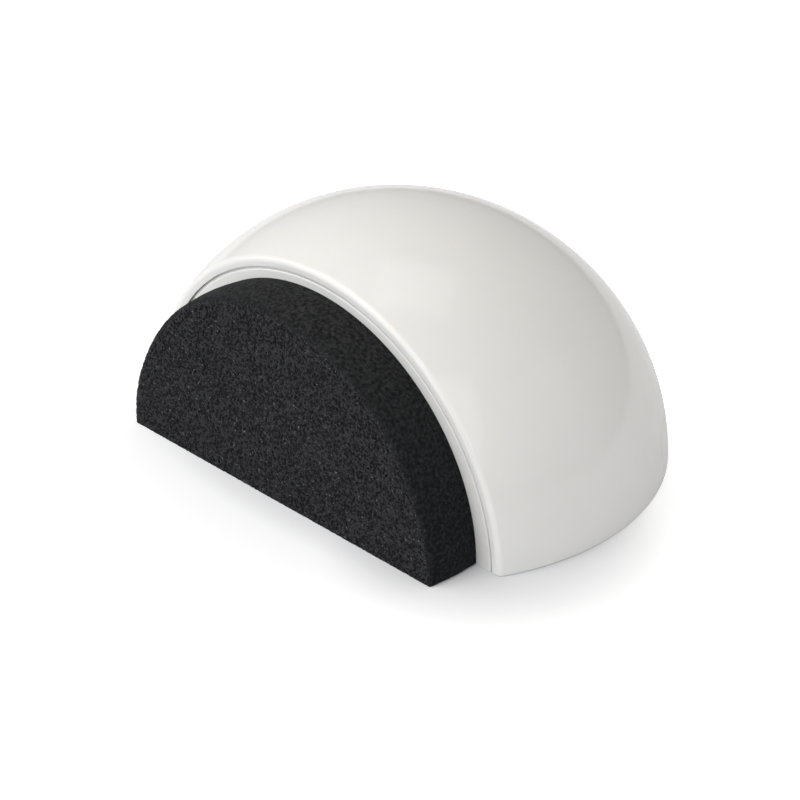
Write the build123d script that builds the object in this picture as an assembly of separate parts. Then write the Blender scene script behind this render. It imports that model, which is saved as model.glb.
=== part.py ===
from build123d import *
import os
from math import sqrt

# Floor door stop: a moulded dome cover that clips over a screwed-down base,
# whose upright wall closes the front opening and carries a foam buffer.
# +X runs across the stop, the foam faces -Y, and the floor is z = 0.
# All sizes are in millimetres.

# Dome cover
cover_width = 75.0
cover_height = 35.0
cover_depth = 50.0
cover_wall = 1.25
lip_round = 0.9
lip_inner_round = 0.1
foot_round = 0.25

# Beads inside the cover's foot that clip under the base's flange
clip_length = 9.0
clip_reach = 0.6
clip_bottom = 0.5
clip_top = 1.3
clip_lead = 0.4
clip_gap = 0.25

# Base moulding
fit_gap = 0.25
face_setback = 0.1
face_round = 0.2
face_step = 0.35
rim_gap = 0.12
front_wall = 2.2
flange_thickness = 1.8
foot_rim = 2.0
rib_thickness = 1.6
rib_spacing = 22.0
rib_length = 24.0
rib_drop = 8.0
rib_room = 1.5

# Countersunk holes for two floor screws
screw_spacing = 42.0
screw_hole = 4.5
screw_head = 8.8
screw_seat = 0.6
boss_diameter = 13.0
boss_rise = 1.4

# Foam buffer
foam_thickness = 8.0
foam_side_margin = 2.62
foam_top_margin = 1.17
foam_foot = 1.0
foam_corner = 0.4

# The box around the finished stop is centred on the origin, front to back
overall_depth = cover_depth + foam_thickness - face_setback
back_y = overall_depth / 2
lip_y = back_y - cover_depth
face_y = lip_y + face_setback
step_y = face_y + face_step
wall_back_y = face_y + front_wall
axis_y = back_y - cover_height

# Heights of the base's steps
flange_bottom = clip_top + clip_gap
flange_top = flange_bottom + flange_thickness
boss_top = flange_top + boss_rise

# The opening inside the cover's lip is half an ellipse, and the base's face fills it
lip_reach = axis_y - lip_y
inner_radius = cover_height - cover_wall
opening_height = sqrt(inner_radius**2 - lip_reach**2)
opening_half_width = (cover_width / 2 - cover_wall) * opening_height / inner_radius
face_half_width = opening_half_width - fit_gap
face_height = opening_height - fit_gap


def front_plane(y):
    """Upright sketching plane at depth y: its x is +X, its y is +Z and it looks along -Y."""
    return Plane(origin=(0, y, 0), x_dir=(1, 0, 0), z_dir=(0, -1, 0))


def half_ellipse(half_width, height):
    """Upper half of an ellipse, drawn upwards from its base line."""
    return Ellipse(half_width, height) & Pos(0, height / 2) * Rectangle(2 * half_width, height)


def slab(x_size, y_min, y_max, z_min, z_max):
    """Box centred on x = 0 between the given depths and heights."""
    centre = Pos(0, (y_min + y_max) / 2, (z_min + z_max) / 2)
    return centre * Box(x_size, y_max - y_min, z_max - z_min)


def dome(inset, front_y):
    """Half ellipse turned over the floor line at axis_y, shrunk by inset and cut flat at front_y."""
    profile = half_ellipse(cover_width / 2 - inset, cover_height - inset)
    turned = Pos(0, axis_y, 0) * revolve(profile, Axis.X, 180)
    return split(turned, Plane(origin=(0, front_y, 0), z_dir=(0, 1, 0)), keep=Keep.TOP)


def floor_layer(inset, z_min, z_max):
    """Upright-edged plate behind the front wall that stays inside the dome shrunk by inset."""
    radius = cover_height - inset
    shrink = sqrt(1 - (z_max / radius) ** 2)
    outline = Pos(0, axis_y) * Ellipse((cover_width / 2 - inset) * shrink, radius * shrink)
    outline &= Pos(0, (wall_back_y + back_y) / 2) * Rectangle(cover_width, back_y - wall_back_y)
    return Pos(0, 0, z_min) * extrude(outline, z_max - z_min)


def make_clips():
    """Three short beads on the cover's inner wall, bevelled below so that they ride over the flange."""
    ring = dome(cover_wall / 2, lip_y) - dome(cover_wall + clip_reach, lip_y)
    side_reach = clip_length / 2
    places = slab(cover_width, axis_y - side_reach, axis_y + side_reach, clip_bottom, clip_top)
    places += slab(clip_length, axis_y, back_y, clip_bottom, clip_top)
    clips = []
    for bead in (ring & places).solids():
        underside = bead.faces().sort_by(Axis.Z)[0]
        inner_edge = underside.edges().sort_by_distance((0, axis_y, clip_bottom))[0]
        clips.append(chamfer(inner_edge, clip_lead))
    return clips


def make_cover():
    """Thin dome, open to the floor and the front, with a rounded lip and clip beads inside its foot."""
    outer = dome(0, lip_y)
    lip = outer.faces().sort_by(Axis.Y)[0].edges().sort_by(Axis.Z)[-1]
    outer = fillet(lip, lip_round)
    shell = outer - dome(cover_wall, lip_y)
    opening = shell.faces().sort_by(Axis.Y)[0].edges().filter_by(GeomType.BSPLINE).sort_by(Axis.Z)[0]
    shell = fillet(opening, lip_inner_round)
    foot = outer.faces().sort_by(Axis.Z)[0].edges().sort_by(Axis.Y)[1:]
    return (shell & fillet(foot, foot_round)) + make_clips()


def make_front_wall():
    """Raised face that fills the cover's opening, on a wall that follows the dome behind the lip."""
    face = extrude(front_plane(face_y) * half_ellipse(face_half_width, face_height), -face_step)
    rim = face.faces().sort_by(Axis.Y)[0].edges().sort_by(Axis.Z)[-1]
    wall = dome(cover_wall + rim_gap, step_y) & slab(cover_width, step_y, wall_back_y, 0, cover_height)
    return fillet(rim, face_round) + wall


def make_floor_plate():
    """Flange that follows the cover's inside, on a rim set back far enough for the clips to pass under."""
    rim_inset = cover_wall + clip_reach + clip_gap
    rim = floor_layer(rim_inset, 0, flange_bottom) - floor_layer(rim_inset + foot_rim, 0, flange_bottom)
    return floor_layer(cover_wall + fit_gap, flange_bottom, flange_top) + rim


def make_ribs():
    """Two gussets that brace the front wall from behind."""
    rib_top = face_height - rib_drop
    rib_end = wall_back_y + rib_length
    side = Polyline((wall_back_y, flange_top), (rib_end, flange_top), (wall_back_y, rib_top), close=True)
    rib = extrude(Plane.YZ * make_face(side), rib_thickness / 2, both=True)
    inside = dome(cover_wall + rib_room, wall_back_y)
    return [Pos(hand * rib_spacing / 2, 0, 0) * rib & inside for hand in (-1, 1)]


def make_screw_hole():
    """Through hole with a right-angled countersink and a short straight seat for the head."""
    sink_depth = (screw_head - screw_hole) / 2
    seat_z = boss_top - screw_seat
    hole = Pos(0, 0, boss_top / 2) * Cylinder(screw_hole / 2, boss_top)
    hole += Pos(0, 0, seat_z - sink_depth / 2) * Cone(screw_hole / 2, screw_head / 2, sink_depth)
    return hole + Pos(0, 0, seat_z + screw_seat / 2) * Cylinder(screw_head / 2, screw_seat)


def make_base():
    """Front wall, floor plate, gussets and two screw bosses as one moulding."""
    boss = Pos(0, 0, boss_top / 2) * Cylinder(boss_diameter / 2, boss_top)
    screw_places = [Pos(hand * screw_spacing / 2, axis_y, 0) for hand in (-1, 1)]
    body = make_front_wall() + make_floor_plate() + make_ribs() + [place * boss for place in screw_places]
    return body - [place * make_screw_hole() for place in screw_places]


def make_foam_pad():
    """Die-cut foam arch stuck to the base's face, its straight edge on the floor."""
    half_width = face_half_width - foam_side_margin
    crown_height = face_height - foam_top_margin - foam_foot
    outline = Pos(0, foam_foot) * half_ellipse(half_width, crown_height)
    outline += Pos(0, foam_foot / 2) * Rectangle(2 * half_width, foam_foot)
    heels = outline.vertices().group_by(Axis.Y)[0]
    return extrude(front_plane(face_y) * fillet(heels, foam_corner), foam_thickness)


os.makedirs("parts", exist_ok=True)
export_step(make_cover(), "parts/cover.step")
export_step(make_base(), "parts/base.step")
export_step(make_foam_pad(), "parts/foam_pad.step")
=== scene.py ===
"""Visual model of a floor door stop: a gloss dome cover, a satin base and a cut foam buffer.

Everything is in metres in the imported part's own frame: +X runs across the stop, the foam faces -Y
and the floor is z = 0.
"""

import logging
import math
from dataclasses import dataclass
from enum import Enum
from typing import Any, ClassVar, Mapping, Optional, Union

import bpy
import numpy as np
from mathutils import Matrix, Vector


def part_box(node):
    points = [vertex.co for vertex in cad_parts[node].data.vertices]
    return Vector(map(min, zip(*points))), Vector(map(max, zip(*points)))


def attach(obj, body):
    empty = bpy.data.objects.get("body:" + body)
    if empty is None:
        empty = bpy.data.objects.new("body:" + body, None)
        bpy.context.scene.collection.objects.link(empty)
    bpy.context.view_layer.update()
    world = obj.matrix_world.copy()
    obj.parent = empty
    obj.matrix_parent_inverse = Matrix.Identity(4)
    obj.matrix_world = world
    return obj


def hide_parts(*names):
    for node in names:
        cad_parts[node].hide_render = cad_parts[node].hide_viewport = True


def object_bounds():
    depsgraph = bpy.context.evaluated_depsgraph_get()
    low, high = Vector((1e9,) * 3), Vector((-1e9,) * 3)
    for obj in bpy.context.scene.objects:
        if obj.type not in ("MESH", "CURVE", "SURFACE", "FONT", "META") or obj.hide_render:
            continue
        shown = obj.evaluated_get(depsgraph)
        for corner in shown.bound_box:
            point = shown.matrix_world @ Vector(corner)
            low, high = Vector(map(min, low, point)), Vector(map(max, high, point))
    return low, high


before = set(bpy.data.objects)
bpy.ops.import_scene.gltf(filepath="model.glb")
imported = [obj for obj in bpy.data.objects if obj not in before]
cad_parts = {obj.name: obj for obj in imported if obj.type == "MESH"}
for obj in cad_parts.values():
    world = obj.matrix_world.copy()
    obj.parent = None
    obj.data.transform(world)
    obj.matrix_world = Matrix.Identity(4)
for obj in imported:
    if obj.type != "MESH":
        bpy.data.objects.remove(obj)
CAD_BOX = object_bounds()

MM = 0.001
LOG = logging.getLogger("door_stop")

Pair = tuple[float, float]
Colour = tuple[float, float, float]
Operand = Union["Signal", float]
WHITE: Colour = (1.0, 1.0, 1.0)
BLACK: Colour = (0.0, 0.0, 0.0)


class Node(Enum):
    """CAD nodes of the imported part."""

    COVER = "cover"
    BASE = "base"
    FOAM = "foam_pad"


class Slot(Enum):
    """Material slots of the part's record."""

    COVER = "cover_plastic"
    BASE = "base_plastic"
    FOAM = "foam"


def rgba(colour: Colour) -> tuple[float, float, float, float]:
    """The colour with full opacity, as shader sockets take it."""
    return (*colour, 1.0)


def direction(azimuth: float, elevation: float) -> Vector:
    """Unit vector towards a viewpoint, where azimuth 0 is in front of the foam and 90 is at +X."""
    a, e = math.radians(azimuth), math.radians(elevation)
    return Vector((math.sin(a) * math.cos(e), -math.cos(a) * math.cos(e), math.sin(e)))


@dataclass(frozen=True)
class Signal:
    """A shader socket whose value can be used in Python arithmetic."""

    graph: "Graph"
    socket: bpy.types.NodeSocket

    def _math(self, operation: str, first: Operand, second: Operand) -> "Signal":
        """Adds a Math node for two values, and gives its result."""
        node = self.graph.node("ShaderNodeMath", {"operation": operation}, {0: first, 1: second})
        return self.graph.output(node, "Value")

    def __add__(self, other: Operand) -> "Signal":
        """Sum with a value on the right."""
        return self._math("ADD", self, other)

    def __radd__(self, other: Operand) -> "Signal":
        """Sum with a value on the left."""
        return self._math("ADD", other, self)

    def __sub__(self, other: Operand) -> "Signal":
        """Difference from a value on the right."""
        return self._math("SUBTRACT", self, other)

    def __rsub__(self, other: Operand) -> "Signal":
        """Difference from a value on the left."""
        return self._math("SUBTRACT", other, self)

    def __mul__(self, other: Operand) -> "Signal":
        """Product with a value on the right."""
        return self._math("MULTIPLY", self, other)

    def __rmul__(self, other: Operand) -> "Signal":
        """Product with a value on the left."""
        return self._math("MULTIPLY", other, self)

    def highest(self, other: Operand) -> "Signal":
        """The larger of this value and another."""
        return self._math("MAXIMUM", self, other)

    def step(self, low: float, high: float) -> "Signal":
        """Smooth rise from 0 to 1.

        Args:
            low: Value at which the rise starts.
            high: Value at which it ends.

        Returns:
            The risen share.
        """
        settings = {"interpolation_type": "SMOOTHSTEP"}
        sockets = {"Value": self, "From Min": low, "From Max": high}
        return self.graph.output(self.graph.node("ShaderNodeMapRange", settings, sockets), "Result")


class Graph:
    """Builds the shader nodes of one material or world."""

    def __init__(self, owner: Union[bpy.types.Material, bpy.types.World]) -> None:
        """Empties the owner's node tree.

        Args:
            owner: The material or world that the nodes belong to.
        """
        owner.use_nodes = True
        self.tree = owner.node_tree
        self.tree.nodes.clear()

    def node(
        self,
        kind: str,
        settings: Optional[Mapping[str, Any]] = None,
        sockets: Optional[Mapping[Union[str, int], Any]] = None,
    ) -> bpy.types.Node:
        """Adds a node.

        Args:
            kind: The node's Blender type.
            settings: Properties of the node, which are set first.
            sockets: Input sockets, by name or place, with a value or a signal to link.

        Returns:
            The new node.
        """
        node = self.tree.nodes.new(kind)
        for name, value in (settings or {}).items():
            setattr(node, name, value)
        for name, value in (sockets or {}).items():
            if isinstance(value, Signal):
                self.tree.links.new(value.socket, node.inputs[name])
            else:
                node.inputs[name].default_value = value
        return node

    def output(self, node: bpy.types.Node, name: Union[str, int]) -> Signal:
        """An output of a node as a signal."""
        return Signal(self, node.outputs[name])

    def place(self) -> Signal:
        """Position on the piece, in metres in the part's frame."""
        return self.output(self.node("ShaderNodeTexCoord"), "Object")

    def split(self, vector: Signal) -> tuple[Signal, Signal, Signal]:
        """The three parts of a vector."""
        node = self.node("ShaderNodeSeparateXYZ", None, {"Vector": vector})
        return self.output(node, "X"), self.output(node, "Y"), self.output(node, "Z")

    def attribute(self, name: str) -> Signal:
        """A value stored on the mesh's points."""
        return self.output(self.node("ShaderNodeAttribute", {"attribute_name": name}), "Fac")

    def noise(self, size: float, detail: float = 2.0, roughness: float = 0.5) -> Signal:
        """Cloudy noise from 0 to 1, whose largest features have the given size in metres."""
        sockets = {"Vector": self.place(), "Scale": 1 / size, "Detail": detail, "Roughness": roughness}
        return self.output(self.node("ShaderNodeTexNoise", None, sockets), "Fac")

    def cells(self, size: float) -> Signal:
        """Distance to the nearest of many scattered points, in shares of their spacing."""
        sockets = {"Vector": self.place(), "Scale": 1 / size}
        return self.output(self.node("ShaderNodeTexVoronoi", None, sockets), "Distance")

    def blend(self, factor: Operand, first: Any, second: Any) -> Signal:
        """Mixes two colours, where the factor is the share of the second."""
        # The Mix node has a socket of the same name for each data type, so they go by place.
        node = self.node("ShaderNodeMix", {"data_type": "RGBA"}, {0: factor, 6: first, 7: second})
        return self.output(node, 2)

    def bump(self, height: Signal, depth: float) -> Signal:
        """Normal of a surface that rises by depth where the height goes from 0 to 1."""
        sockets = {"Height": height, "Distance": depth}
        return self.output(self.node("ShaderNodeBump", None, sockets), "Normal")

    def principled(self, sockets: Mapping[str, Any]) -> Signal:
        """A Principled shader with the given sockets."""
        return self.output(self.node("ShaderNodeBsdfPrincipled", None, sockets), "BSDF")

    def surface(self, shader: Signal, output_kind: str = "ShaderNodeOutputMaterial") -> None:
        """Ends the graph in the given shader."""
        self.node(output_kind, None, {"Surface": shader})

    def seen_directly(self, mirror_share: float) -> Signal:
        """How far a ray shows the white background instead of the light on it.

        Args:
            mirror_share: Share for rays that come from a mirror.

        Returns:
            1 for rays from the camera or through glass, the mirror's share for rays from a mirror,
            and 0 for light on the object.
        """
        path = self.node("ShaderNodeLightPath")
        clear = self.output(path, "Is Camera Ray").highest(self.output(path, "Is Transmission Ray"))
        return clear.highest(self.output(path, "Is Glossy Ray") * mirror_share)


@dataclass(frozen=True)
class MouldedPlastic:
    """White moulded plastic, with a faint mottle and the slight waviness of a polished tool.

    Attributes:
        name: Name of the material.
        roughness: Roughness of the surface.
        roughness_drift: How far the roughness drifts over the mottle.
        wave_depth: Height of the slow waves.
        grain_depth: Height of the fine grain.
        colour: Colour of the plastic.
        mottle: Colour of its mottled patches.
        mottle_band: Noise values over which a patch sets in.
        mottle_size: Width of a patch.
        wave_size: Width of a slow wave.
        grain_size: Width of the fine grain.
        ior: Refractive index.
        bleed: Share of the light that spreads inside the plastic.
        bleed_reach: How far the red, green and blue of it spread.
    """

    name: str
    roughness: float
    roughness_drift: float
    wave_depth: float
    grain_depth: float = 0.0
    colour: Colour = (0.82, 0.82, 0.81)
    mottle: Colour = (0.81, 0.81, 0.80)
    mottle_band: Pair = (0.35, 0.65)
    mottle_size: float = 9 * MM
    wave_size: float = 3.5 * MM
    grain_size: float = 0.25 * MM
    ior: float = 1.5
    bleed: float = 0.15
    bleed_reach: Colour = (1.0 * MM, 0.8 * MM, 0.6 * MM)

    def material(self) -> bpy.types.Material:
        """Builds the material.

        Returns:
            The finished material.
        """
        material = bpy.data.materials.new(self.name)
        graph = Graph(material)
        cloud = graph.noise(self.mottle_size, detail=3.0)
        grain = graph.noise(self.grain_size, detail=2.0)
        wave = graph.noise(self.wave_size, detail=1.0) * self.wave_depth + grain * self.grain_depth
        patches = cloud.step(*self.mottle_band)
        shader = graph.principled({
            "Base Color": graph.blend(patches, rgba(self.colour), rgba(self.mottle)),
            "Roughness": self.roughness + (cloud - 0.5) * self.roughness_drift,
            "IOR": self.ior,
            "Subsurface Weight": self.bleed,
            "Subsurface Radius": self.bleed_reach,
            "Subsurface Scale": 1.0,
            "Normal": graph.bump(wave * (1 / MM), MM),
        })
        graph.surface(shader)
        return material


@dataclass(frozen=True)
class OpenFoam:
    """Charcoal foam with painted shade in its bubbles and on its die-cut side, painted glints and
    painted light on top.

    A share says how much of a tone comes from one pattern, and a band is the range of the pattern's
    values over which it sets in.

    Attributes:
        name: Name of the material.
        wall: Colour of the bubbles' walls on the cut front.
        shaded_pit: Colour inside the bubbles, painted dark as the shade in them.
        wall_share: Share of the modelled bubbles.
        cell_share: Share of the bubbles that are too small to model.
        grain_share: Share of the fine grain.
        painted_glint: Colour of a few walls painted bright: painted glints.
        glint_grain: Band of the fine grain within a glint.
        shaded_side_wall: Paler colour of the die-cut side, painted darker than the front's as shade.
        shaded_side_pit: Darker colour of the die-cut side, which as a whole is painted darker than the
            front as shade.
        top_light: Paler colour painted in patches on upward faces: painted light on the top of the side.
        roughness: Roughness of the surface.
        roughness_drift: How far the roughness drifts with the tone.
        sheen: Strength of the mirrored light.
    """

    name: str = "charcoal_foam"
    wall: Colour = (0.046, 0.0465, 0.0515)
    shaded_pit: Colour = (0.001, 0.001, 0.0013)
    wall_share: float = 0.3
    cell_share: float = 0.35
    cell_size: float = 0.30 * MM
    cell_band: Pair = (0.1, 0.7)
    cell_depth: float = 0.08 * MM
    grain_share: float = 0.35
    grain_size: float = 0.16 * MM
    grain_band: Pair = (0.35, 0.65)
    grain_depth: float = 0.04 * MM
    painted_glint: Colour = (0.20, 0.20, 0.215)
    glint_size: float = 0.45 * MM
    glint_band: Pair = (0.66, 0.74)
    glint_grain: Pair = (0.45, 0.65)
    shaded_side_wall: Colour = (0.0275, 0.030, 0.0335)
    shaded_side_pit: Colour = (0.0045, 0.005, 0.0055)
    side_cell_share: float = 0.6
    side_cell_size: float = 0.45 * MM
    side_cell_band: Pair = (0.3, 0.7)
    side_grain_share: float = 0.4
    top_light: Colour = (0.055, 0.055, 0.055)
    top_light_share: float = 0.48
    top_light_size: float = 0.55 * MM
    top_light_band: Pair = (0.35, 0.7)
    roughness: float = 0.72
    roughness_drift: float = 0.2
    sheen: float = 0.07

    def material(self) -> bpy.types.Material:
        """Builds the material.

        Returns:
            The finished material.
        """
        material = bpy.data.materials.new(self.name)
        graph = Graph(material)
        side = graph.attribute(FoamPad.SIDE)
        wall = graph.attribute(FoamPad.WALL)
        cells = graph.cells(self.cell_size)
        grain = graph.noise(self.grain_size, detail=2.0, roughness=0.6)
        # The tone falls where a bubble is cut deeper and towards the middle of the smaller cells; the
        # dark pit colour there is painted shade.
        tone = (
            wall * self.wall_share
            + cells.step(*self.cell_band) * self.cell_share
            + grain.step(*self.grain_band) * self.grain_share
        )
        front = graph.blend(tone * tone, rgba(self.shaded_pit), rgba(self.wall))
        # A few bright specks on the front: painted glints.
        painted_glint = graph.noise(self.glint_size, detail=1.0).step(*self.glint_band)
        sparkled = graph.blend(painted_glint * grain.step(*self.glint_grain), front, rgba(self.painted_glint))
        # The die-cut side takes darker colours than the front: painted shade, with its own coarser
        # mottle.
        side_cells = graph.noise(self.side_cell_size, detail=2.0).step(*self.side_cell_band)
        side_tone = side_cells * self.side_cell_share + grain * self.side_grain_share
        skin = graph.blend(side_tone * side_tone, rgba(self.shaded_side_pit), rgba(self.shaded_side_wall))
        # Upward faces turn paler in patches: painted light on the top of the side.
        upward = graph.attribute(FoamPad.UPWARD)
        top_lit = graph.noise(self.top_light_size, detail=1.0).step(*self.top_light_band) * upward * upward
        top_lit_skin = graph.blend(top_lit * self.top_light_share, skin, rgba(self.top_light))
        height = cells * (self.cell_depth / MM) + grain * (self.grain_depth / MM)
        shader = graph.principled({
            "Base Color": graph.blend(side, sparkled, top_lit_skin),
            "Roughness": self.roughness + (0.5 - tone) * self.roughness_drift,
            "Specular IOR Level": self.sheen,
            "Normal": graph.bump(height, MM),
        })
        graph.surface(shader)
        return material


def dress_node(node: Node, material: bpy.types.Material) -> bpy.types.Object:
    """Gives a CAD node a material.

    Args:
        node: The node to dress.
        material: Its finish.

    Returns:
        The node's object.
    """
    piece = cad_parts[node.value]
    piece.data.materials.clear()
    piece.data.materials.append(material)
    return piece


@dataclass
class Cover:
    """Dome cover, shown as its CAD solid in gloss white plastic."""

    finish: MouldedPlastic = MouldedPlastic(
        name="gloss_white_plastic",
        roughness=0.09,
        roughness_drift=0.03,
        wave_depth=0.002 * MM,
        bleed=0.3,
    )

    def dress(self) -> bpy.types.Object:
        """Gives the cover its finish."""
        return dress_node(Node.COVER, self.finish.material())


@dataclass
class Base:
    """Base moulding, shown as its CAD solid in satin white plastic."""

    finish: MouldedPlastic = MouldedPlastic(
        name="satin_white_plastic",
        roughness=0.38,
        roughness_drift=0.08,
        wave_depth=0.001 * MM,
        grain_depth=0.002 * MM,
    )

    def dress(self) -> bpy.types.Object:
        """Gives the base its finish."""
        return dress_node(Node.BASE, self.finish.material())


@dataclass(frozen=True)
class FoamSkin:
    """Surface of the pad before its bubbles are cut: the front grid, then rings round it to the back.

    Attributes:
        places: Points of the surface.
        normals: Outward unit normals there.
        side: How far each point belongs to the die-cut side, from 0 on the front to 1.
        rim: Numbers of the front grid's border points.
        faces: Point numbers of each face.
    """

    places: np.ndarray
    normals: np.ndarray
    side: np.ndarray
    rim: np.ndarray
    faces: list[list[int]]


@dataclass
class FoamPad:
    """Die-cut foam arch whose faces cut through small round bubbles.

    Attributes:
        foot: Height at which the arch starts, above its straight sides.
        corner: Radius of the two lower corners.
        edge_round: Radius of the soft front edge.
        foot_round: Radius of the front edge along the floor.
        barrel: How far the side swells at half its depth.
        splay: How far the front spreads at its left foot.
        splay_rise: Height over which that spread turns into an equal draw inwards.
        splay_power: How fast the spread falls off from the left end to the middle.
        draw_in: How far the front draws in on the right.
        draw_power: How fast that falls off from the right end to the middle.
        edge_steps: Rings round the soft front edge.
        corner_steps: Rows through a lower corner.
        grid_step: Spacing of the front grid.
        side_step: Spacing of the rings on the side.
        bubble_spacing: Spacing of the bubbles.
        bubble_radius: Radius of the smallest and of the largest bubble.
        deepest_cut: Depth that no bubble goes beyond.
        side_cut: Share of a bubble's depth that is left on the side.
        seed: Start of the random draws.
        fill: How tight the foam is, from 0 for slack to 1 for full. Not used.
        finish: Finish of the foam.
    """

    SIDE: ClassVar[str] = "die_cut_side"
    WALL: ClassVar[str] = "bubble_wall"
    UPWARD: ClassVar[str] = "upward_share"

    foot: float = 1.0 * MM
    corner: float = 0.4 * MM
    edge_round: float = 0.8 * MM
    foot_round: float = 0.05 * MM
    barrel: float = 0.3 * MM
    splay: float = 0.9 * MM
    splay_rise: float = 25 * MM
    splay_power: int = 4
    draw_in: float = 0.65 * MM
    draw_power: int = 2
    edge_steps: int = 4
    corner_steps: int = 5
    grid_step: float = 0.17 * MM
    side_step: float = 0.3 * MM
    bubble_spacing: float = 0.42 * MM
    bubble_radius: Pair = (0.14 * MM, 0.28 * MM)
    deepest_cut: float = 0.14 * MM
    side_cut: float = 0.3
    seed: int = 11
    fill: float = 1.0
    finish: OpenFoam = OpenFoam()

    def face_rows(self, half_width: float, height: float, inset: float, foot_inset: float) -> np.ndarray:
        """Grid over the pad's outline, drawn in by an inset.

        Args:
            half_width: Half the pad's width.
            height: The pad's height.
            inset: Inset of the arch.
            foot_inset: Inset of the straight foot.

        Returns:
            Places as x and z, by row from the foot upwards and by column from left to right.
        """
        inner_half = half_width - inset
        columns = np.linspace(-1, 1, 2 * round(half_width / self.grid_step) + 1)
        turn = np.linspace(0, math.pi / 2, self.corner_steps + 1)
        heel_z = self.corner - (self.corner - foot_inset) * np.cos(turn)
        heel_half = inner_half - (self.corner - inset) * (1 - np.sin(turn))
        shin_steps = math.ceil((self.foot - self.corner) / self.grid_step)
        shin_z = np.linspace(self.corner, self.foot, 1 + shin_steps)[1:-1]
        low_z = np.concatenate([heel_z, shin_z])
        low_half = np.concatenate([heel_half, np.full(len(shin_z), inner_half)])
        low = np.stack([np.outer(low_half, columns), np.repeat(low_z[:, None], len(columns), 1)], -1)
        rise = height - self.foot
        u, v = np.meshgrid(columns, np.linspace(0, 1, round(rise / self.grid_step) + 1))
        arch_x = inner_half * u * np.sqrt(1 - v**2 / 2)
        arch_z = self.foot + (rise - inset) * v * np.sqrt(1 - u**2 / 2)
        return np.concatenate([low, np.stack([arch_x, arch_z], -1)])

    @staticmethod
    def rim_of(rows: int, columns: int) -> np.ndarray:
        """Numbers of the grid's border points, once round from the lower left."""
        number = np.arange(rows * columns).reshape(rows, columns)
        return np.concatenate([number[0], number[1:, -1], number[-1, -2::-1], number[-2:0:-1, 0]])

    def bubble_cut(self, places: np.ndarray, normals: np.ndarray) -> np.ndarray:
        """How deep the bubbles that lie across the cut reach below each point.

        Args:
            places: Points of the uncut surface.
            normals: Outward unit normals there.

        Returns:
            Depth at each point, in metres.
        """
        random = np.random.default_rng(self.seed)
        lattice = np.floor(places / self.bubble_spacing).astype(int)
        lowest = lattice.min(0) - 1
        shape = tuple(lattice.max(0) + 2 - lowest)
        centres = random.random((*shape, 3))
        radii = random.uniform(*self.bubble_radius, shape)
        depth = np.zeros(len(places))
        for step in np.ndindex(3, 3, 3):
            cell = lattice + np.array(step) - 1
            index = tuple((cell - lowest).T)
            away = places - (cell + centres[index]) * self.bubble_spacing
            along = (away * normals).sum(1)
            inside = radii[index] ** 2 - (away**2).sum(1)
            reach = along + np.sqrt(np.maximum(along**2 + inside, 0))
            depth = np.where(inside > 0, np.maximum(depth, reach), depth)
        return np.minimum(depth, self.deepest_cut)

    def front_drift(self, places: np.ndarray, low: Vector, high: Vector) -> np.ndarray:
        """How far the pad's front spreads at its left foot, and draws in above it and on the right.

        Args:
            places: Points of the pad.
            low: Lowest corner of the pad's box.
            high: Highest corner of the pad's box.

        Returns:
            Distance towards -X at each point, in metres.
        """
        x, y, z = places.T
        on_left = np.clip(x / low.x, 0, 1) ** self.splay_power
        on_right = np.clip(x / high.x, 0, 1) ** self.draw_power
        left = self.splay * on_left * np.cos(math.pi * z / self.splay_rise)
        right = self.draw_in * on_right * np.sin(math.pi * z / high.z)
        return (left + right) * (high.y - y) / (high.y - low.y)

    def skin(self, low: Vector, high: Vector) -> FoamSkin:
        """Surface of the pad before its bubbles are cut.

        Args:
            low: Lowest corner of the pad's box.
            high: Highest corner of the pad's box.

        Returns:
            The front grid and the rings from its border to the back.
        """
        rows = self.face_rows(high.x, high.z, self.edge_round, self.foot_round)
        count_z, count_x = rows.shape[:2]
        face = rows.reshape(-1, 2)
        rim = self.rim_of(count_z, count_x)
        inner = face[rim]
        outer = self.face_rows(high.x, high.z, 0, 0).reshape(-1, 2)[rim]
        along = np.roll(outer, -1, 0) - np.roll(outer, 1, 0)
        outward = np.stack([along[:, 1], -along[:, 0]], -1)
        outward /= np.linalg.norm(outward, axis=1, keepdims=True)
        rounding = np.linalg.norm(outer - inner, axis=1)

        turn = np.linspace(0, math.pi / 2, self.edge_steps + 1)[1:]
        run = np.linspace(0, 1, 1 + math.ceil((high.y - low.y) / self.side_step))[1:]
        out = np.concatenate([np.sin(turn), np.ones(len(run))])
        front = np.concatenate([np.cos(turn), np.zeros(len(run))])
        back = np.concatenate([np.zeros(len(turn)), run])

        places = [np.stack([face[:, 0], np.full(len(face), low.y), face[:, 1]], -1)]
        normals = [np.tile((0.0, -1.0, 0.0), (len(face), 1))]
        side = [np.zeros(len(face))]
        for reach, lean, share in zip(out, front, back):
            swell = self.barrel * math.sin(math.pi * share) * np.clip(1 + outward[:, 1:], 0, 1)
            ring = inner + (outer - inner) * reach + outward * swell
            depth = low.y + rounding * (1 - lean) + (high.y - low.y - rounding) * share
            places.append(np.stack([ring[:, 0], depth, ring[:, 1]], -1))
            facing = [outward[:, 0] * reach, np.full(len(ring), -lean), outward[:, 1] * reach]
            normals.append(np.stack(facing, -1))
            side.append(np.full(len(ring), reach))
        points = np.concatenate(places)
        points[:, 0] -= self.front_drift(points, low, high)
        faces = self.faces_of(count_z, count_x, rim, len(out))
        return FoamSkin(points, np.concatenate(normals), np.concatenate(side), rim, faces)

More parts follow.
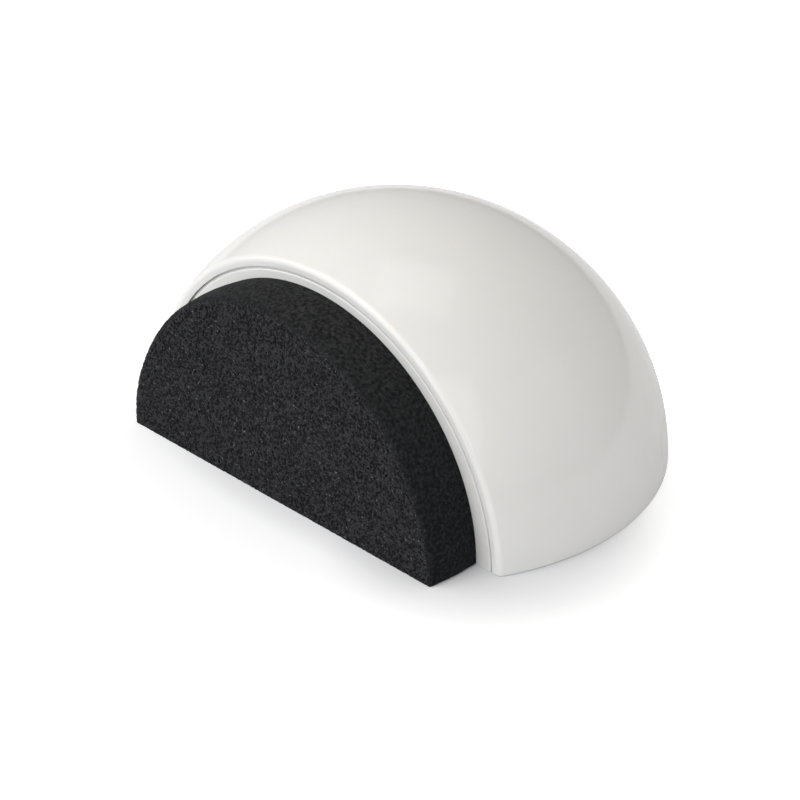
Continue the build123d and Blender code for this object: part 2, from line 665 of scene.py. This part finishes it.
    @staticmethod
    def faces_of(rows: int, columns: int, rim: np.ndarray, rings: int) -> list[list[int]]:
        """Faces of the front grid, the rings round it and the flat back.

        Args:
            rows: Rows of the front grid.
            columns: Columns of the front grid.
            rim: Numbers of the grid's border points.
            rings: Rings from the border to the back.

        Returns:
            Point numbers of each face.
        """
        number = np.arange(rows * columns).reshape(rows, columns)
        corners = (number[:-1, :-1], number[:-1, 1:], number[1:, 1:], number[1:, :-1])
        faces = np.stack(corners, -1).reshape(-1, 4).tolist()
        first = rim
        for ring in range(rings):
            second = rows * columns + ring * len(rim) + np.arange(len(rim))
            band = (first, second, np.roll(second, -1), np.roll(first, -1))
            faces += np.stack(band, -1).tolist()
            first = second
        faces.append(first[::-1].tolist())
        return faces

    def build(self) -> bpy.types.Object:
        """Builds and dresses the pad, in the place of its CAD solid.

        Returns:
            The pad.
        """
        low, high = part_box(Node.FOAM.value)
        skin = self.skin(low, high)
        cut = self.bubble_cut(skin.places, skin.normals)
        cut *= 1 - (1 - self.side_cut) * skin.side
        cut[skin.rim] *= self.side_cut
        cut[-len(skin.rim):] = 0
        places = skin.places - skin.normals * cut[:, None]

        mesh = bpy.data.meshes.new(Node.FOAM.value)
        mesh.from_pydata(places.tolist(), [], skin.faces)
        mesh.shade_smooth()
        # The wall share falls with the cut's depth, so the finish paints deeper cuts darker as shade;
        # the upward share paints the top paler as light.
        shares = {
            self.SIDE: skin.side,
            self.WALL: 1 - cut / self.deepest_cut,
            self.UPWARD: np.maximum(skin.normals[:, 2], 0),
        }
        for name, values in shares.items():
            stored = mesh.attributes.new(name, "FLOAT", "POINT")
            stored.data.foreach_set("value", values.astype(np.float32))
        mesh.materials.append(self.finish.material())
        pad = bpy.data.objects.new("foam_buffer", mesh)
        bpy.context.scene.collection.objects.link(pad)
        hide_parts(Node.FOAM.value)
        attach(pad, "root")
        return pad


@dataclass(frozen=True)
class Softbox:
    """Rectangular soft light that faces the stop.

    Attributes:
        name: Name of the light.
        azimuth: Degrees round from the foam's front towards +X.
        elevation: Degrees above the floor.
        width: Width, in metres.
        height: Height, in metres.
        brightness: Brightness of its face.
        colour: Colour of the light.
        distance: Distance from the stop, in metres.
    """

    name: str
    azimuth: float
    elevation: float
    width: float
    height: float
    brightness: float
    colour: Colour = WHITE
    distance: float = 1.2

    def build(self, target: Vector) -> bpy.types.Object:
        """Adds the light.

        Args:
            target: The point that it faces.

        Returns:
            The light.
        """
        lamp = bpy.data.lights.new(self.name, "AREA")
        lamp.shape = "RECTANGLE"
        lamp.size = self.width
        lamp.size_y = self.height
        lamp.energy = self.brightness * math.pi * self.width * self.height
        lamp.color = self.colour
        light = bpy.data.objects.new(self.name, lamp)
        back = direction(self.azimuth, self.elevation)
        light.location = target + back * self.distance
        light.rotation_euler = (-back).to_track_quat("-Z", "Y").to_euler()
        bpy.context.scene.collection.objects.link(light)
        return light


@dataclass(frozen=True)
class PaintedFloorShadow:
    """Soft-edged oval of the floor where less white is added, so that it darkens there: a painted
    shadow.

    Attributes:
        centre: Its middle, as x and y.
        size: Half its width and half its length.
        depth: Share of the added white that is taken away in the middle.
    """

    centre: Pair
    size: Pair
    depth: float

    def kept(self, x: Signal, y: Signal) -> Signal:
        """Share of the added white that is kept.

        Args:
            x: Place across the stop.
            y: Place from front to back.

        Returns:
            1 outside the oval, and less inside it.
        """
        across = (x - self.centre[0]) * (1 / self.size[0])
        along = (y - self.centre[1]) * (1 / self.size[1])
        return (1 - self.depth) + self.depth * (across * across + along * along).step(0.0, 1.0)


@dataclass
class Studio:
    """Pale floor, plain surroundings and soft lights.

    Attributes:
        floor_half: Half the floor's width, in metres.
        floor_drop: How far the floor lies below the stop.
        floor_colour: Colour of the floor near the stop.
        far_colour: Colour of the floor far away.
        floor_lift: White that is added to the floor, in full outside its painted shadows.
        shadow_hiding_lift: White that is added behind the stop: painted light that hides its cast shadow
            there.
        back_reach: Places from front to back over which that white sets in.
        painted_shadows: Ovals where less white is added: painted shadows.
        mirror_share: Share of the added white that is seen in a mirror.
        white_reach: Distances over which the floor turns to plain white.
        dim_reach: Distances over which it turns to the far colour.
        horizon: Light from the sides.
        zenith: Light from above.
        zenith_reach: Height at which the light from above is full, on a unit dome.
        lights: The soft lights.
    """

    floor_half: float = 6.0
    floor_drop: float = 0.02 * MM
    floor_colour: Colour = (0.785, 0.80, 0.83)
    far_colour: Colour = (0.30, 0.30, 0.30)
    floor_lift: float = 0.345
    shadow_hiding_lift: float = 0.43
    back_reach: Pair = (-6 * MM, 40 * MM)
    painted_shadows: tuple[PaintedFloorShadow, ...] = (
        PaintedFloorShadow(centre=(27.0 * MM, -15.2 * MM), size=(24.9 * MM, 24.1 * MM), depth=1.0),
        PaintedFloorShadow(centre=(0.5 * MM, -24.3 * MM), size=(34.0 * MM, 10.6 * MM), depth=0.59),
    )
    mirror_share: float = 0.24
    white_reach: Pair = (0.08, 0.20)
    dim_reach: Pair = (0.15, 0.40)
    horizon: Colour = (0.362, 0.383, 0.426)
    zenith: Colour = (0.498, 0.467, 0.414)
    zenith_reach: float = 0.8
    lights: tuple[Softbox, ...] = (
        Softbox("key_box", azimuth=-40, elevation=40, width=0.9, height=0.9, brightness=1.41),
        Softbox("low_box", azimuth=-33, elevation=13, width=1.8, height=0.52, brightness=1.7),
        Softbox("front_box", azimuth=-10, elevation=40, width=0.9, height=0.9, brightness=1.12),
        Softbox("right_box", azimuth=55, elevation=40, width=0.9, height=0.9, brightness=1.06),
        Softbox("side_fill", azimuth=110, elevation=25, width=1.4, height=0.8, brightness=0.25),
        Softbox(
            "overhead_box",
            azimuth=-142,
            elevation=75,
            width=0.55,
            height=0.55,
            brightness=0.77,
            colour=(1.0, 0.98, 0.95),
        ),
    )

    def floor_material(self) -> bpy.types.Material:
        """Pale floor that looks white, with painted shadow in ovals near the stop and painted light
        behind it.

        Returns:
            The material.
        """
        material = bpy.data.materials.new("studio_floor")
        graph = Graph(material)
        x, y, _ = graph.split(graph.place())
        away = x * x + y * y
        white, far = (away.step(near**2, wide**2) for near, wide in (self.white_reach, self.dim_reach))
        paper = graph.blend(far, rgba(self.floor_colour), rgba(self.far_colour))
        # White added behind the stop, where it casts its shadow: painted light.
        added = self.shadow_hiding_lift * y.step(*self.back_reach)
        # Less white inside the ovals: painted shadow.
        added += self.floor_lift * math.prod(shade.kept(x, y) for shade in self.painted_shadows)
        lift = graph.blend(added.highest(white), rgba(BLACK), rgba(WHITE))
        flat = {"Base Color": paper, "Roughness": 1.0, "Specular IOR Level": 0.0}
        plain = graph.principled(flat)
        lifted = graph.principled({**flat, "Emission Color": lift, "Emission Strength": 1.0})
        seen = graph.seen_directly(self.mirror_share)
        shown = graph.node("ShaderNodeMixShader", None, {0: seen, 1: plain, 2: lifted})
        graph.surface(graph.output(shown, "Shader"))
        return material

    def build_floor(self) -> bpy.types.Object:
        """Adds the floor.

        Returns:
            The floor.
        """
        mesh = bpy.data.meshes.new("floor")
        half, z = self.floor_half, -self.floor_drop
        corners = [(-half, -half, z), (half, -half, z), (half, half, z), (-half, half, z)]
        mesh.from_pydata(corners, [], [(0, 1, 2, 3)])
        mesh.materials.append(self.floor_material())
        floor = bpy.data.objects.new("floor", mesh)
        bpy.context.scene.collection.objects.link(floor)
        return floor

    def build_world(self) -> bpy.types.World:
        """Sets surroundings that look white and light the stop gently.

        Returns:
            The world.
        """
        world = bpy.data.worlds.new("studio")
        graph = Graph(world)
        way = graph.node("ShaderNodeTexCoord")
        height = graph.split(graph.output(way, "Generated"))[2].step(0.0, self.zenith_reach)
        room = graph.blend(height, rgba(self.horizon), rgba(self.zenith))
        colour = graph.blend(graph.seen_directly(self.mirror_share), room, rgba(WHITE))
        shown = graph.node("ShaderNodeBackground", None, {"Color": colour, "Strength": 1.0})
        graph.surface(graph.output(shown, "Background"), "ShaderNodeOutputWorld")
        bpy.context.scene.world = world
        return world

    def build_lights(self) -> list[bpy.types.Object]:
        """Adds the lights, which face the middle of the stop."""
        target = (CAD_BOX[0] + CAD_BOX[1]) / 2
        return [light.build(target) for light in self.lights]


@dataclass
class PhotoCamera:
    """Camera at the photo's viewing angle.

    Attributes:
        azimuth: Degrees round from the foam's front towards +X.
        elevation: Degrees above the floor.
        roll: Degrees of tilt about the line of sight.
        distance: Distance from the point that it faces.
        near: Nearest distance that it shows.
        lens: Focal length, in millimetres.
        sensor: Sensor width, in millimetres.
        lip_depth: Place of the cover's front lip, from front to back.
        aim_right: How far to the right of the lip's foot it faces, as the picture shows it.
        aim_up: How far above the lip's foot it faces, as the picture shows it.
    """

    azimuth: float = 47.43
    elevation: float = 29.82
    roll: float = -1.232
    distance: float = 435 * MM
    near: float = 10 * MM
    lens: float = 145.0
    sensor: float = 36.0
    lip_depth: float = -21.05 * MM
    aim_right: float = 10.486 * MM
    aim_up: float = 10.885 * MM

    def build(self) -> bpy.types.Object:
        """Adds the camera and makes it the scene's own.

        Returns:
            The camera.
        """
        back = direction(self.azimuth, self.elevation)
        turn = Matrix.Rotation(math.radians(self.roll), 3, back)
        level = Vector((0, 0, 1)).cross(back).normalized()
        right = turn @ level
        up = turn @ back.cross(level)
        target = Vector((0, self.lip_depth, 0)) + right * self.aim_right + up * self.aim_up
        data = bpy.data.cameras.new("photo_camera")
        data.lens = self.lens
        data.sensor_width = self.sensor
        data.clip_start = self.near
        camera = bpy.data.objects.new("photo_camera", data)
        facing = Matrix((right, up, back)).transposed().to_4x4()
        camera.matrix_world = Matrix.Translation(target + back * self.distance) @ facing
        bpy.context.scene.collection.objects.link(camera)
        bpy.context.scene.camera = camera
        return camera


def main() -> None:
    """Builds the stop's pieces, the studio and the camera."""
    logging.basicConfig(level=logging.INFO, format="%(name)s: %(message)s")
    bpy.context.scene.view_settings.view_transform = "Standard"
    for piece in (Cover().dress(), Base().dress(), FoamPad().build()):
        LOG.info("%s has %d faces", piece.name, len(piece.data.polygons))
    studio = Studio()
    LOG.info("%s is %.0f m wide", studio.build_floor().name, 2 * studio.floor_half)
    LOG.info("surroundings are %s", studio.build_world().name)
    for light in studio.build_lights():
        LOG.info("%s gives %.1f W", light.name, light.data.energy)
    camera = PhotoCamera().build()
    LOG.info("%s has a %.0f mm lens", camera.name, camera.data.lens)


if __name__ == "__main__":
    main()
